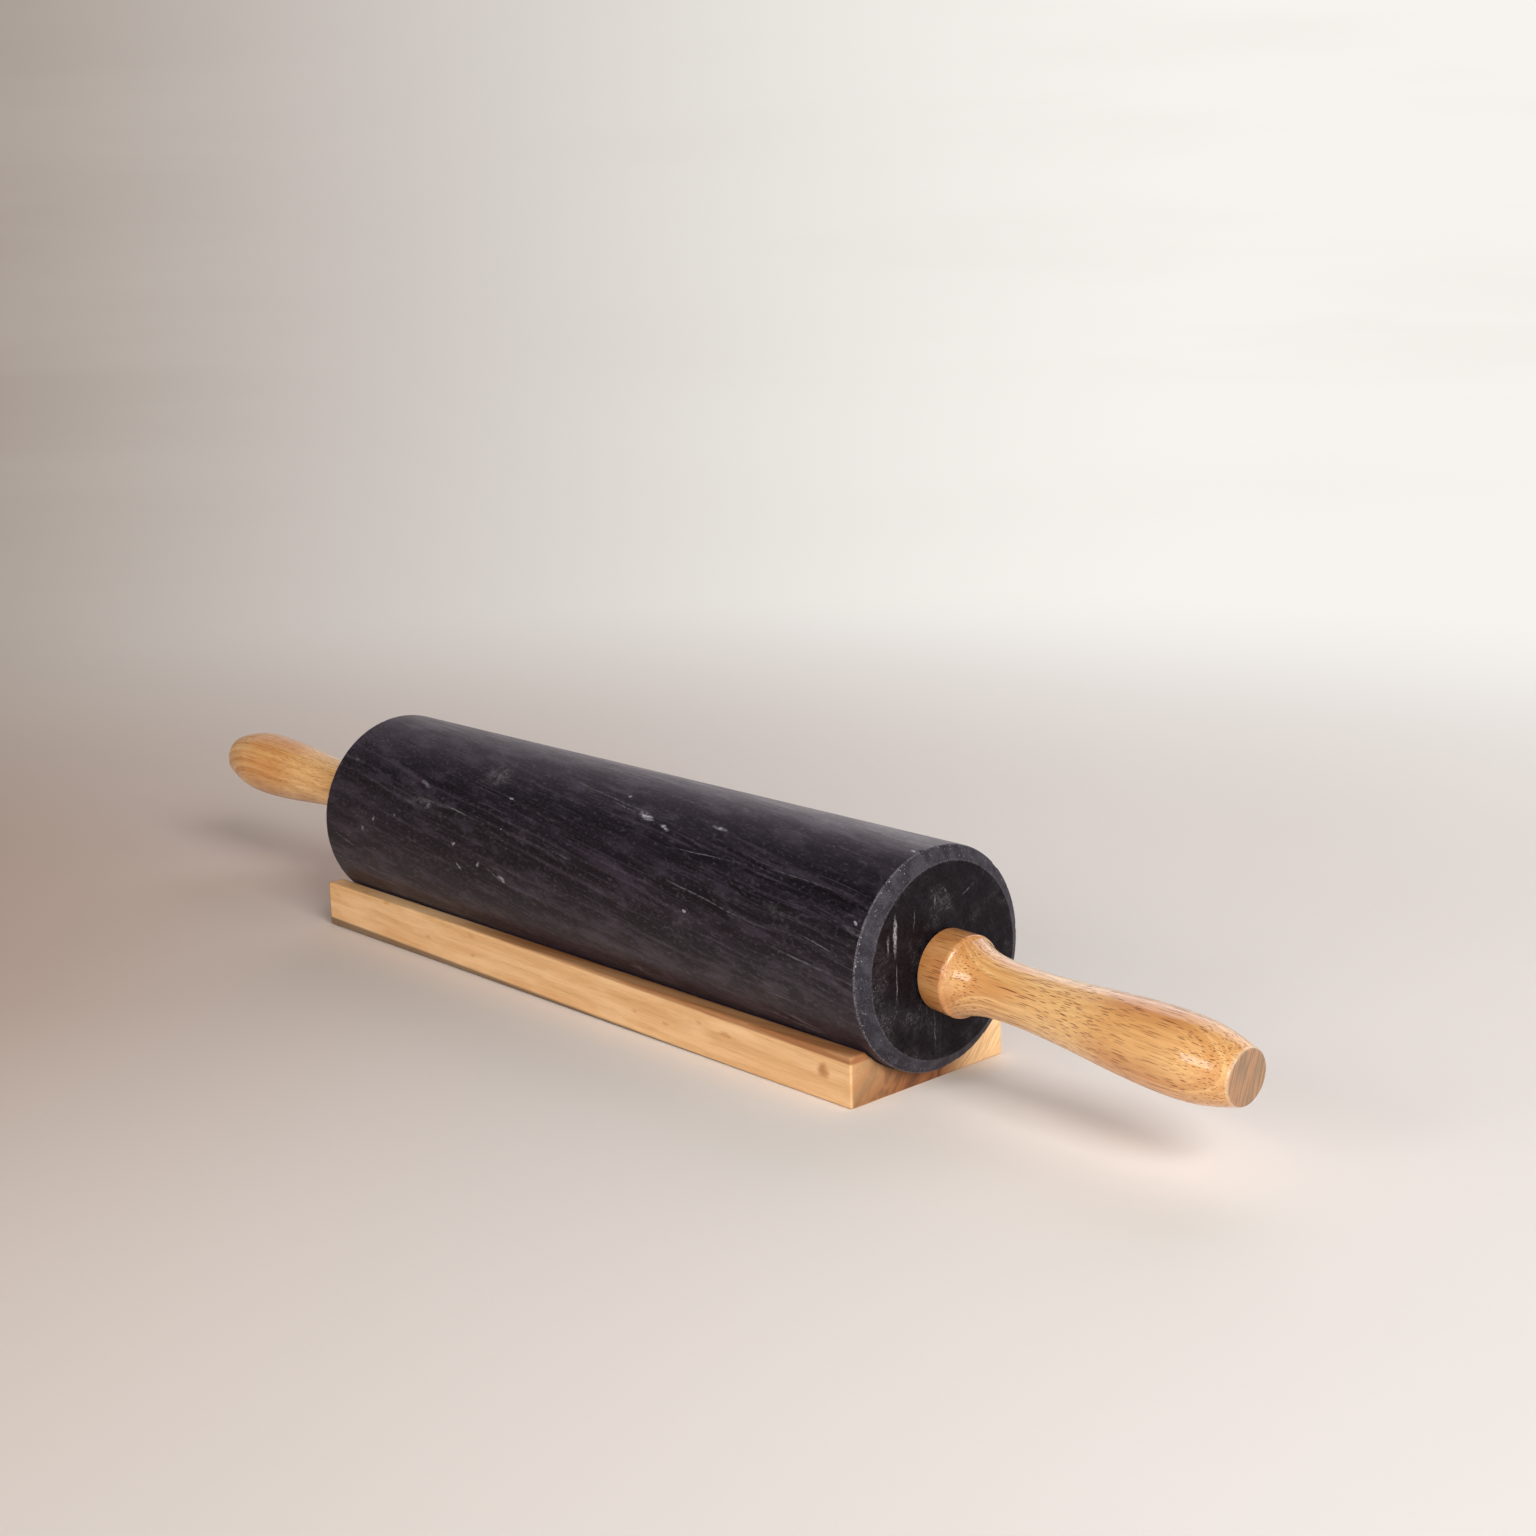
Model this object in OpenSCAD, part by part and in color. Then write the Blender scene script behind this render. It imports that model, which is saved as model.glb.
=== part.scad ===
// Marble rolling pin lying in its wooden cradle.
// +X runs along the pin, +Z is up. The origin lies under the middle of the pin,
// on the surface that the cradle stands on. Sizes are in millimetres.

/* [Barrel] */
// Length of the marble barrel
barrel_length = 254; // [200:1:320]
// Diameter of the marble barrel
barrel_d = 62.4; // [56:0.2:70]
// Width of the end chamfer, seen from the end
chamfer_width = 4; // [1:0.5:6]
// Depth of the end chamfer, along the barrel
chamfer_depth = 2.6; // [1:0.2:5]
// Diameter of the hole that runs through the barrel
bore_d = 12; // [9:0.5:13]

/* [Bushings] */
// Outer diameter of the nylon bushing in each end of the barrel
bushing_d = 16; // [14:0.5:20]
// Length of each bushing
bushing_length = 18; // [10:1:30]

/* [Axle] */
// Diameter of the steel axle rod
rod_d = 6; // [5:0.25:6.5]
// Pitch of the thread rings on the rod's ends
thread_pitch = 1; // [0.75:0.05:1.5]
// Depth of the thread rings
thread_depth = 0.45; // [0.2:0.05:0.6]
// Length of the chamfer on the rod's tips
tip_chamfer = 0.6; // [0.2:0.1:1]

/* [Washers] */
// Outer diameter of the thrust washer under each handle
washer_d = 15; // [12:0.5:16]
// Thickness of each thrust washer
washer_thickness = 0.9; // [0.5:0.1:2]

/* [Handles] */
// Length of each handle, from the barrel's end face to the flat tip
handle_length = 99.6; // [80:0.2:130]
// Diameter of the collar where it meets the barrel
collar_d = 22.4; // [20:0.2:26]
// Diameter of the ridge at the collar's outer end
ridge_d = 23; // [21:0.2:27]
// Distance of the ridge from the barrel's end face
ridge_at = 8.4; // [6:0.2:12]
// Radius that rounds the ridge
ridge_round = 1.4; // [0.5:0.1:2]
// Diameter of the neck, the thinnest place
neck_d = 15.9; // [15:0.1:18]
// Distance of the neck from the barrel's end face
neck_at = 28; // [22:0.5:36]
// How fast the shoulder falls from the ridge to the neck
shoulder_power = 3; // [1.5:0.1:4]
// Diameter of the belly, the thickest place of the grip
belly_d = 21.6; // [18:0.1:26]
// Distance of the belly from the barrel's end face
belly_at = 79; // [55:0.5:79]
// Diameter of the flat tip
tip_d = 14.9; // [8:0.1:17]
// How late the grip rounds off towards the flat tip
tip_power = 2.2; // [1.5:0.1:4]
// Radius that eases the edge of the flat tip
tip_ease = 0.5; // [0.2:0.1:1]
// How far the right handle's collar hangs below the axle
right_drop = 2.1; // [-1:0.1:2.2]
// Angle by which the right handle hangs down from the axle
right_lean = 3.2; // [-3:0.1:3.5]
// How far the left handle's collar hangs below the axle
left_drop = -0.7; // [-1:0.1:2.2]
// Angle by which the left handle hangs down from the axle
left_lean = -0.8; // [-3:0.1:3.5]

/* [Inserts] */
// Outer diameter of the threaded insert in each handle
insert_d = 9; // [8:0.25:9.5]
// Length of each threaded insert
insert_length = 13; // [8:0.5:14]
// Depth of the barb grooves round each insert
barb_depth = 0.5; // [0.2:0.1:0.6]
// Number of barb grooves round each insert
barb_count = 3; // [1:1:5]
// Depth of the free hole behind each insert
hole_reserve = 2; // [1:0.5:4]

/* [Cradle] */
// Length of the cradle along the pin
cradle_length = 250; // [180:1:300]
// Width of the cradle
cradle_width = 58.5; // [54:0.5:80]
// Height of the cradle
cradle_height = 14.6; // [11:0.2:16]
// Thickness of wood left under the trough
trough_floor = 4.4; // [3:0.1:7]
// Radius that eases the cradle's long edges and upright corners
cradle_round = 1; // [0.4:0.1:2]
// How far the pin lies to the right of the cradle's middle
pin_shift = 4.4; // [-10:0.2:10]

/* [Clearances] */
// Radial clearance of the rod in the bushings and washers
running_clearance = 0.08; // [0.02:0.01:0.1]
// Radial clearance of the rod's thread in the inserts
thread_clearance = 0.05; // [0.02:0.01:0.1]
// End play between each washer and the barrel
end_play = 0.1; // [0.05:0.05:0.3]
// Gap left under the barrel where it rests in the trough
rest_gap = 0.1; // [0.05:0.05:0.3]
// How much larger the trough's radius is than the barrel's
trough_clearance = 0.8; // [0.5:0.1:3]

/* [Hidden] */
$fn = 96;
CUT = 1;
STEPS = 20;
barrel_r = barrel_d / 2;
bore_r = bore_d / 2;
rod_r = rod_d / 2;
trough_r = barrel_r + trough_clearance;
axis_height = trough_floor + rest_gap + barrel_r;
face_x = barrel_length / 2;
collar_gap = end_play + washer_thickness;
collar_x = face_x + collar_gap;
thread_length = insert_length;
rod_half = collar_x + insert_length;

marble = "#2b262b";
wood = "#dcae76";
pale_wood = "#d3a36d";
nylon = "#e9e6dc";
steel = "#b4b8bc";
brass = "#c7a14a";

// Lays children that are built up along Z on the axle line, pointing to the right
module on_axle(x = 0) {
    translate([x, 0, axis_height]) rotate([0, 90, 0]) children();
}

// Mirrors children to the left end when side is -1
module at_side(side) {
    mirror([side < 0 ? 1 : 0, 0, 0]) children();
}

// A plain ring along Z
module ring(outer_r, inner_r, length) {
    difference() {
        cylinder(r = outer_r, h = length);
        translate([0, 0, -CUT]) cylinder(r = inner_r, h = length + 2 * CUT);
    }
}

// Rectangle with rounded corners, centred on the origin
module rounded_rectangle(width, height, radius) {
    inner_w = width - 2 * radius;
    inner_h = height - 2 * radius;
    square([inner_w, height], center = true);
    square([width, inner_h], center = true);
    for (x = [-1, 1], y = [-1, 1])
        translate([x * inner_w / 2, y * inner_h / 2]) circle(r = radius);
}

// The cradle is one block of wood with a round trough along its top
module cradle() {
    color(pale_wood)
    translate([-pin_shift, 0, 0])
    difference() {
        intersection() {
            translate([-cradle_length / 2, 0, cradle_height / 2])
                rotate([90, 0, 90])
                linear_extrude(height = cradle_length)
                rounded_rectangle(cradle_width, cradle_height, cradle_round);
            translate([0, 0, -CUT])
                linear_extrude(height = cradle_height + 2 * CUT)
                rounded_rectangle(cradle_length, cradle_width, cradle_round);
        }
        translate([-cradle_length / 2 - CUT, 0, trough_floor + trough_r])
            rotate([0, 90, 0])
            cylinder(r = trough_r, h = cradle_length + 2 * CUT);
    }
}

// The barrel is a turned marble cylinder with chamfered ends and a stepped bore
module marble_barrel() {
    color(marble)
    difference() {
        on_axle() rotate_extrude() polygon([
            [0, -face_x],
            [barrel_r - chamfer_width, -face_x],
            [barrel_r, chamfer_depth - face_x],
            [barrel_r, face_x - chamfer_depth],
            [barrel_r - chamfer_width, face_x],
            [0, face_x]
        ]);
        on_axle(-face_x - CUT) cylinder(r = bore_r, h = barrel_length + 2 * CUT);
        for (side = [-1, 1])
            at_side(side) on_axle(face_x - bushing_length)
                cylinder(r = bushing_d / 2, h = bushing_length + CUT);
    }
}

// Each nylon bushing sits flush in the end of the barrel and carries the rod
module bushing(side) {
    color(nylon)
    at_side(side) on_axle(face_x - bushing_length)
        ring(bushing_d / 2, rod_r + running_clearance, bushing_length);
}

// Outline of one threaded end, from the last ring towards the tip
function thread_points(start, rings) = [
    for (i = [0 : rings - 1], corner = [0, 1])
        corner == 0
            ? [rod_r, start + i * thread_pitch]
            : [rod_r - thread_depth, start + (i + 0.5) * thread_pitch]
];

// One end of the rod, whose thread fills the insert
module rod_end() {
    rings = floor((thread_length - tip_chamfer) / thread_pitch);
    start = rod_half - tip_chamfer - rings * thread_pitch;
    rotate_extrude() polygon(concat(
        [[0, 0], [rod_r, 0]],
        thread_points(start, rings),
        [
            [rod_r, rod_half - tip_chamfer],
            [rod_r - tip_chamfer, rod_half],
            [0, rod_half]
        ]
    ));
}

// The steel rod runs through the whole pin and joins the two handles
module axle_rod() {
    color(steel)
    on_axle() {
        rod_end();
        mirror([0, 0, 1]) rod_end();
    }
}

// Each washer lies between the barrel's end face and the handle's collar
module washer(side) {
    color(nylon)
    at_side(side) on_axle(face_x + end_play)
        ring(washer_d / 2, rod_r + running_clearance, washer_thickness);
}

// Each brass insert is pressed into its handle, and the rod's end screws into it
module insert(side) {
    insert_r = insert_d / 2;
    spacing = insert_length / (barb_count + 1);
    color(brass)
    at_side(side) on_axle(collar_x)
        difference() {
            ring(insert_r, rod_r + thread_clearance, insert_length);
            for (i = [1 : barb_count])
                translate([0, 0, i * spacing - barb_depth])
                ring(insert_r + CUT, insert_r - barb_depth, 2 * barb_depth);
        }
}

// Points of the rounded ridge at the end of the collar
function ridge_points() = [
    for (angle = [0 : 15 : 60])
        [ridge_d / 2 - ridge_round * (1 - cos(angle)), ridge_at + ridge_round * sin(angle)]
];

// Points of the shoulder, which falls fast and then levels out at the neck
function shoulder_points(from) = [
    for (i = [1 : STEPS])
        let (t = i / STEPS)
        [
            neck_d / 2 + (from[0] - neck_d / 2) * pow(1 - t, shoulder_power),
            from[1] + (neck_at - from[1]) * t
        ]
];

// Points of the swelling grip between the neck and the belly
function grip_points() = [
    for (i = [1 : STEPS])
        let (t = i / STEPS)
        [
            neck_d / 2 + (belly_d - neck_d) / 2 * (1 - cos(180 * t)) / 2,
            neck_at + (belly_at - neck_at) * t
        ]
];

// Points of the rounding between the belly and the eased edge of the flat tip
function tip_points() = [
    for (i = [1 : STEPS])
        let (t = i / STEPS)
        [
            belly_d / 2 - (belly_d - tip_d) / 2 * pow(t, tip_power),
            belly_at + (handle_length - tip_ease - belly_at) * t
        ]
];

// The turned outside of a handle, built up along Z from the barrel's end face
module handle_outside() {
    ridge = ridge_points();
    rotate_extrude() polygon(concat(
        [[0, -ridge_at], [collar_d / 2, -ridge_at], [collar_d / 2, 0]],
        ridge,
        shoulder_points(ridge[len(ridge) - 1]),
        grip_points(),
        tip_points(),
        [[tip_d / 2 - tip_ease, handle_length], [0, handle_length]]
    ));
}

// Each handle is turned a little off the line of the hole that holds its insert,
// so it hangs by the drop and the lean, and its collar is cut square to the axle
module handle(side, drop, lean) {
    hole_r = rod_r + 4 * thread_clearance;
    at_side(side)
    difference() {
        translate([face_x, 0, axis_height - drop])
            rotate([0, 90 + lean, 0])
            handle_outside();
        translate([collar_x - barrel_d, -barrel_d / 2, axis_height - barrel_d / 2])
            cube([barrel_d, barrel_d, barrel_d]);
        on_axle(collar_x - CUT) cylinder(r = insert_d / 2, h = insert_length + CUT);
        on_axle(collar_x) cylinder(r = hole_r, h = insert_length + hole_reserve);
    }
}

module bushing_left() { bushing(-1); }
module bushing_right() { bushing(1); }
module washer_left() { washer(-1); }
module washer_right() { washer(1); }
module insert_left() { insert(-1); }
module insert_right() { insert(1); }
module handle_left() { color(wood) handle(-1, left_drop, left_lean); }
module handle_right() { color(wood) handle(1, right_drop, right_lean); }

cradle();
marble_barrel();
bushing_left();
bushing_right();
axle_rod();
washer_left();
washer_right();
insert_left();
insert_right();
handle_left();
handle_right();
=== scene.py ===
"""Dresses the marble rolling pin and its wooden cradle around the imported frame."""

from math import cos, degrees, pi, radians, sin
from types import SimpleNamespace

import bmesh
import bpy
from mathutils import Matrix, Vector, noise


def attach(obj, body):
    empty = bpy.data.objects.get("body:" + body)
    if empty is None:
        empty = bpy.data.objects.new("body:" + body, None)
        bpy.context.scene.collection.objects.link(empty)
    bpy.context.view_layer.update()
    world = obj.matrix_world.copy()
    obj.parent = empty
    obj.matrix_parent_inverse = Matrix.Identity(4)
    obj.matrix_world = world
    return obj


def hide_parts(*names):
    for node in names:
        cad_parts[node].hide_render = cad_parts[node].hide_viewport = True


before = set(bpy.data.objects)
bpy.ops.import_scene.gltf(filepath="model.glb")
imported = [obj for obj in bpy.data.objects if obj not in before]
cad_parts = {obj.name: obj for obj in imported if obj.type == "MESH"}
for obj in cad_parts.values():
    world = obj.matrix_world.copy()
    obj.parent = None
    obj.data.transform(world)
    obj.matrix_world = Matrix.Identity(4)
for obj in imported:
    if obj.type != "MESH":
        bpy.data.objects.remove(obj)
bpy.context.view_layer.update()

# Sizes of the real parts in metres, as the part's source has them
MM = 0.001
BARREL_RADIUS = 31.2 * MM
FACE_X = 127 * MM
CHAMFER_WIDTH = 4 * MM
CHAMFER_DEPTH = 2.6 * MM
BORE_RADIUS = 6 * MM
BUSHING_RADIUS = 8 * MM
BUSHING_LENGTH = 18 * MM
AXIS_HEIGHT = 35.7 * MM
COLLAR_X = 128 * MM

HANDLE_LENGTH = 99.6 * MM
COLLAR_RADIUS = 11.2 * MM
RIDGE_RADIUS = 11.5 * MM
RIDGE_AT = 8.4 * MM
RIDGE_ROUND = 1.4 * MM
NECK_RADIUS = 7.95 * MM
NECK_AT = 28 * MM
BELLY_RADIUS = 10.8 * MM
BELLY_AT = 79 * MM
TIP_RADIUS = 7.45 * MM
TIP_EASE = 0.5 * MM
INSERT_RADIUS = 4.5 * MM
INSERT_LENGTH = 13 * MM
ROD_HOLE_RADIUS = 3.2 * MM
HOLE_RESERVE = 2 * MM
RIGHT_DROP = 2.1 * MM
RIGHT_LEAN = radians(3.2)
LEFT_DROP = -0.7 * MM
LEFT_LEAN = radians(-0.8)

CRADLE_LENGTH = 250 * MM
CRADLE_WIDTH = 58.5 * MM
CRADLE_HEIGHT = 14.6 * MM
TROUGH_FLOOR = 4.4 * MM
TROUGH_RADIUS = 32 * MM
CRADLE_X = -4.4 * MM

# How finely the meshes are made
BARREL_STEPS = 480
HANDLE_STEPS = 144
OUTLINE_STEPS = 28
TROUGH_STEPS = 48
ROOM_STEPS = 96
BEND_STEPS = 16
MERGE_DISTANCE = 1e-6
CUT_TOLERANCE = 1e-7
SHARP_ANGLE = radians(32)

# How the handle's outline is drawn: the turns round its ridge and its tip in degrees, and how
# quickly the ridge falls to the neck and the belly to the tip
RIDGE_TURNS = range(0, 61, 10)
TIP_TURNS = range(15, 91, 15)
NECK_POWER = 3
TIP_POWER = 2.2

# Softened edges
STONE_EASE = 0.22 * MM
STONE_EASE_SEGMENTS = 3
CRADLE_EASE = 0.8 * MM
CRADLE_EASE_SEGMENTS = 4
CRADLE_EDGE_ANGLE = radians(25)

# Chips on the rims of the stone: how far from an edge one starts, how deep the deepest goes, how
# far inside a rim they are looked for, how quickly they deepen with the noise, how many grains of
# each noise lie in a metre, and how much of the noise leaves no chip
CHIP_REACH = 0.7 * MM
CHIP_LIMIT = 0.4 * MM
CHIP_MARGIN = 1.2 * MM
CHIP_DEPTH = 0.9 * MM
FINE_CHIPS = 900
COARSE_CHIPS = 260
UNCHIPPED = 0.32

# Loops round the barrel, in mm from each face, close together at the rims so that chips are small
LOOPS = (0.3, 0.7, 1.1, 1.5, 1.9, 2.3, 2.9, 3.4, 4.2, 6, 10, 20, 40, 80)

# The room in metres: how far it reaches, how high its wall is, how round its corner is, where the
# loops lie on its floor, and how far the floor lies under the cradle
ROOM_REACH = 3.5
ROOM_HEIGHT = 1.6
ROOM_CURVE = 0.6
FLOOR_RINGS = (0, 0.5, 1.0, 2.0)
FLOOR_GAP = 0.05 * MM

# The photograph's view: its angles, its distances in metres, and its lens and sensor in mm
VIEW_AZIMUTH = radians(48.03)
VIEW_ELEVATION = radians(13.60)
VIEW_ROLL = radians(-1.93)
VIEW_DISTANCE = 0.7725
VIEW_RIGHT = 0.04278
VIEW_UP = 0.06449
LENS = 59.0
SENSOR_WIDTH = 36
CLIP_START = 0.01
CLIP_END = 50

# The even light from all round
WORLD_LEVEL = 0.04
WORLD_TINT = (1, 0.975, 0.95, 1)

# Each lamp: the direction that it stands in, its distance, its width, its power and its tint
LIGHTS = [
    ("key", (-0.04, -0.91, 0.40), 1.5, 0.5, 4.6, (1, 1, 1)),
    ("high", (0.81, -0.23, 0.55), 2.4, 1.0, 39, (1, 1, 1)),
    ("right", (0.88, 0.25, 0.34), 2.4, 1.4, 9, (1, 1, 1)),
    ("front", (0.50, -0.82, 0.28), 2.4, 1.4, 17, (1, 1, 1)),
    ("back", (-0.35, 0.75, 0.6), 2.4, 1.7, 15, (1, 0.92, 0.98)),
    ("sheen", (-0.72, 0.30, 0.62), 2.6, 1.7, 3.3, (1, 0.86, 1)),
]


def unscreened(level):
    """Undoes the screen's own curve for one colour, written 0 to 255."""
    shown = level / 255
    if shown <= 0.04045:
        return shown / 12.92
    return ((shown + 0.055) / 1.055) ** 2.4


def paint(red, green, blue):
    """Turns a colour written 0 to 255, as a screen shows it, into the values that a shader takes."""
    return (unscreened(red), unscreened(green), unscreened(blue), 1)


class Value:
    """A socket that can be written in sums."""

    def __init__(self, finish, socket):
        self.finish = finish
        self.socket = socket

    def maths(self, operation, *others):
        return self.finish.maths(operation, self, *others)

    def __add__(self, other):
        return self.maths("ADD", other)

    __radd__ = __add__

    def __sub__(self, other):
        return self.maths("SUBTRACT", other)

    def __rsub__(self, other):
        return self.finish.maths("SUBTRACT", other, self)

    def __mul__(self, other):
        return self.maths("MULTIPLY", other)

    __rmul__ = __mul__

    def __truediv__(self, other):
        return self.maths("DIVIDE", other)

    def size(self):
        return self.maths("ABSOLUTE")

    def most(self, other):
        return self.maths("MAXIMUM", other)

    def rise(self, low, high):
        """Goes smoothly from 0 at low to 1 at high."""
        settings = {"interpolation_type": "SMOOTHSTEP"}
        sockets = {"Value": self, "From Min": low, "From Max": high}
        return self.finish.node("ShaderNodeMapRange", settings, sockets)


class Finish:
    """One material and the nodes that make it."""

    def __init__(self, name):
        self.material = bpy.data.materials.new(name)
        self.material.use_nodes = True
        self.tree = self.material.node_tree
        self.tree.nodes.clear()
        place = self.node("ShaderNodeTexCoord", {}, {}, "Object")
        self.point = self.vector("SCALE", place, {"Scale": 1 / MM})

    def node(self, kind, settings, sockets, output=0):
        """Adds a node: its settings first, then what its sockets hold or are linked to."""
        made = self.tree.nodes.new(kind)
        for name, value in settings.items():
            setattr(made, name, value)
        pairs = sockets.items() if isinstance(sockets, dict) else enumerate(sockets)
        for key, value in pairs:
            if isinstance(value, Value):
                self.tree.links.new(value.socket, made.inputs[key])
            else:
                made.inputs[key].default_value = value
        return Value(self, made.outputs[output])

    def maths(self, operation, *values):
        return self.node("ShaderNodeMath", {"operation": operation}, values)

    def vector(self, operation, first, others, output=0):
        sockets = {0: first}
        sockets.update(others)
        return self.node("ShaderNodeVectorMath", {"operation": operation}, sockets, output)

    def length(self, vector):
        return self.vector("LENGTH", vector, {}, "Value")

    def apart(self, vector):
        """Gives the three coordinates of a vector."""
        made = self.node("ShaderNodeSeparateXYZ", {}, [vector])
        outputs = made.socket.node.outputs
        return [Value(self, outputs[axis]) for axis in range(3)]

    def together(self, x, y, z=0.0):
        return self.node("ShaderNodeCombineXYZ", {}, [x, y, z])

    def laid(self, vector, place=(0, 0, 0), turn=(0, 0, 0), size=(1, 1, 1)):
        """Gives coordinates in a frame that stands at a place, is turned, and has its own units."""
        sockets = {"Vector": vector, "Location": place, "Rotation": turn, "Scale": size}
        return self.node("ShaderNodeMapping", {"vector_type": "TEXTURE"}, sockets)

    def cloud(self, vector, detail=3.0, rough=0.5, output="Fac"):
        sockets = {"Vector": vector, "Scale": 1.0, "Detail": detail, "Roughness": rough}
        return self.node("ShaderNodeTexNoise", {}, sockets, output)

    def cells(self, vector, output="Distance"):
        sockets = {"Vector": vector, "Scale": 1.0}
        return self.node("ShaderNodeTexVoronoi", {}, sockets, output)

    def spots(self, grid, edge, uneven, chosen):
        """Puts a spot in some cells of a grid.

        The edge says where a spot fades in and is full, uneven says how much the spots differ in
        size, and chosen says which share of the cells stays empty and which is filled.
        """
        lot = self.apart(self.cells(grid, "Color"))
        return (self.cells(grid) - lot[1] * uneven).rise(*edge) * lot[0].rise(*chosen)

    def nudged(self, vector, size, amount, detail=2.0):
        """Moves coordinates about by a cloud of the given size."""
        shift = self.cloud(self.laid(vector, size=size), detail, output="Color")
        centred = self.vector("SUBTRACT", shift, {1: (0.5, 0.5, 0.5)})
        scaled = self.vector("SCALE", centred, {"Scale": amount})
        return self.vector("ADD", vector, {1: scaled})

    def mix(self, share, first, second):
        """Goes from the first colour to the second. The numbers are the node's colour sockets."""
        return self.node("ShaderNodeMix", {"data_type": "RGBA"}, {0: share, 6: first, 7: second}, 2)

    def bump(self, height, distance):
        return self.node("ShaderNodeBump", {}, {"Height": height, "Distance": distance})

    def shine(self, **sockets):
        """Ends the material in one surface shader."""
        named = {name.replace("_", " "): value for name, value in sockets.items()}
        shader = self.node("ShaderNodeBsdfPrincipled", {}, named, "BSDF")
        self.node_output(shader)
        return self.material

    def node_output(self, shader):
        out = self.tree.nodes.new("ShaderNodeOutputMaterial")
        self.tree.links.new(shader.socket, out.inputs["Surface"])


# Pale calcite on the side of the barrel. Each mark gives its place along the barrel in mm, its
# place round it in degrees above the front, its half length and half width in mm, its tilt in
# degrees, and how strongly it shows.
SIDE_MARKS = [
    (26, 56.0, 5.0, 1.5, -12, 1.0),
    (36, 52.0, 3.4, 0.8, -14, 0.8),
    (56, 60.3, 4.2, 0.9, -6, 0.75),
    (14, 58.6, 10, 0.22, -9, 0.38),
    (58, 43.0, 20, 0.20, 2, 0.38),
    (96, 43.8, 18, 0.18, -3, 0.3),
    (111, 15.0, 10, 0.20, -10, 0.38),
    (88, -13.0, 11, 0.18, -14, 0.26),
    (-52, 29.5, 15, 0.22, -6, 0.41),
    (-76, 40.5, 4.4, 1.0, -16, 0.36),
    (-70, 28.0, 2.2, 1.3, 10, 0.32),
    (-103, 5.0, 1.0, 0.7, 0, 0.6),
    (-97, 12.0, 1.2, 0.6, 80, 0.6),
    (-86, 18.0, 0.9, 0.5, 0, 0.6),
    (-53, 11.5, 1.2, 0.8, 30, 0.7),
    (-50, -0.5, 2.2, 0.7, -30, 0.7),
    (-40, 4.0, 1.3, 0.8, 60, 0.6),
    (-28, -0.5, 2.6, 1.0, -15, 0.9),
    (-33, 1.5, 9, 0.25, -22, 0.38),
    (-33, 45.5, 1.5, 0.7, -10, 0.8),
    (-112, -6.5, 10, 0.25, -16, 0.3),
    (-98, -22.0, 27, 0.22, -4, 0.22),
]

# Softer grey and brown places on the side of the barrel, in the same order of numbers
SIDE_SMOKE = [
    (-46, 58.0, 9.0, 7.0, -5, 0.42),
    (54, 6.0, 3.4, 4.0, 8, 0.24),
    (-118, 44.0, 12, 1.2, -4, 0.25),
    (92, 25.5, 7.0, 2.0, -8, 0.22),
]

# Calcite on the right end face. Each mark gives its place across and above the middle in mm,
# its half length, half width, tilt and strength.
FACE_MARKS = [
    (-18.2, 11.0, 7.0, 0.9, 88, 0.72),
    (-20.9, 9.0, 3.4, 0.5, 86, 0.5),
    (-17.9, -2.0, 7.5, 0.25, 89, 0.45),
    (-3.1, 17.5, 2.8, 0.3, 88, 0.3),
    (-4.0, -17.0, 9.5, 0.2, 91, 0.35),
    (9.4, 17.8, 3.4, 0.25, 28, 0.28),
    (-11.0, 14.0, 4.0, 0.2, 80, 0.3),
]

# A mark narrower than this, in mm, is a thin line with gaps, and a wider one is a flake
THIN_MARK = 0.3

# How far one degree reaches round the side of the barrel, in mm
MM_PER_DEGREE = BARREL_RADIUS / MM * radians(1)

# How much the stone's bed turns in radians, from place to place and with each mm along it
BED_WAVER = 0.13
BED_WIND = 0.0040

# The clouds that the stone is made of: the place where each is taken, its size along and across
# the bed in mm, its detail and its roughness
STONE_CLOUDS = {
    "tone": ((0, 0, 0), (90, 14, 14), 4.0, 0.55),
    "band": ((7, 31, 5), (120, 5, 5), 4.0, 0.60),
    "streak": ((40, 3, 9), (70, 1.4, 1.4), 3.0, 0.55),
    "hair": ((9, 77, 31), (44, 0.42, 0.42), 2.0, 0.55),
    "thread": ((66, 12, 41), (30, 0.7, 0.7), 0.0, 0.50),
    "smear": ((15, 22, 70), (16, 4.5, 4.5), 5.0, 0.62),
    "mottle": ((5, 61, 17), (1.8, 0.8, 0.8), 3.0, 0.60),
}

# The tones that lie over each other on the stone: the cloud that each follows, where in the cloud
# it starts and where it is full, its share and its colour
STONE_TONES = [
    ("band", 0.48, 0.66, 0.50, paint(35, 28, 38)),
    ("band", 0.46, 0.36, 0.45, paint(8, 6, 9)),
    ("smear", 0.50, 0.68, 0.55, paint(58, 50, 61)),
    ("smear", 0.47, 0.34, 0.50, paint(8, 6, 9)),
    ("streak", 0.52, 0.74, 0.26, paint(88, 76, 88)),
    ("mottle", 0.52, 0.72, 0.24, paint(106, 96, 106)),
    ("hair", 0.54, 0.74, 0.11, paint(110, 96, 108)),
    ("hair", 0.47, 0.30, 0.20, paint(9, 7, 11)),
    ("thread", 0.72, 0.82, 0.12, paint(132, 120, 134)),
]

# Scratches on the end faces: the way they run in degrees, and the place where each set is taken
SCUFFS = ((20, 3), (75, 11), (128, 29))


def strongest(values):
    """Gives the greatest of several values."""
    total = values[0]
    for value in values[1:]:
        total = total.most(value)
    return total


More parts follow.
